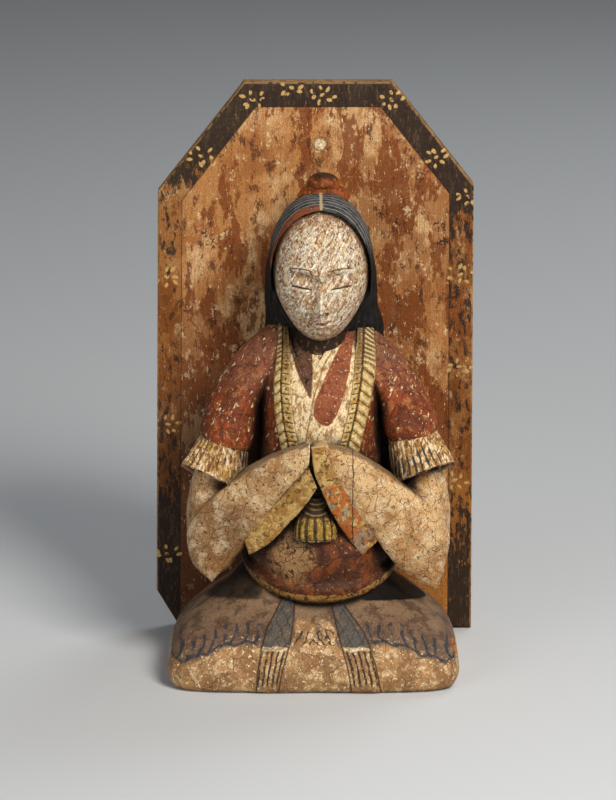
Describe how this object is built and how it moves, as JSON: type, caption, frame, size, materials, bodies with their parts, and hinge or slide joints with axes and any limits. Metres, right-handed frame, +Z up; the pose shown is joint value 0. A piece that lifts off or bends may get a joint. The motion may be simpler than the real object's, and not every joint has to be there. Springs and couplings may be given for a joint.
{
  "type": "seated goddess statue",
  "caption": "Kneeling robed figure carved in wood, hands joined inside wide sleeves, before a flat board with cut corners.",
  "frame": {"origin": "on the ground, under the middle of the whole object", "axes": "+Z up, +Y from the figure's face towards the board behind it, +X to the viewer's right"},
  "size_m": [0.2696, 0.1866, 0.47],
  "materials": {
    "figure": "old polychrome over carved wood, worn, matt",
    "backboard": "aged bare wood with a worn black painted border, matt",
    "peg": "pale bare end grain, matt"
  },
  "bodies": {
    "root": {"figure": "figure", "backboard": "backboard", "peg": "peg"}
  },
  "joints": []
}
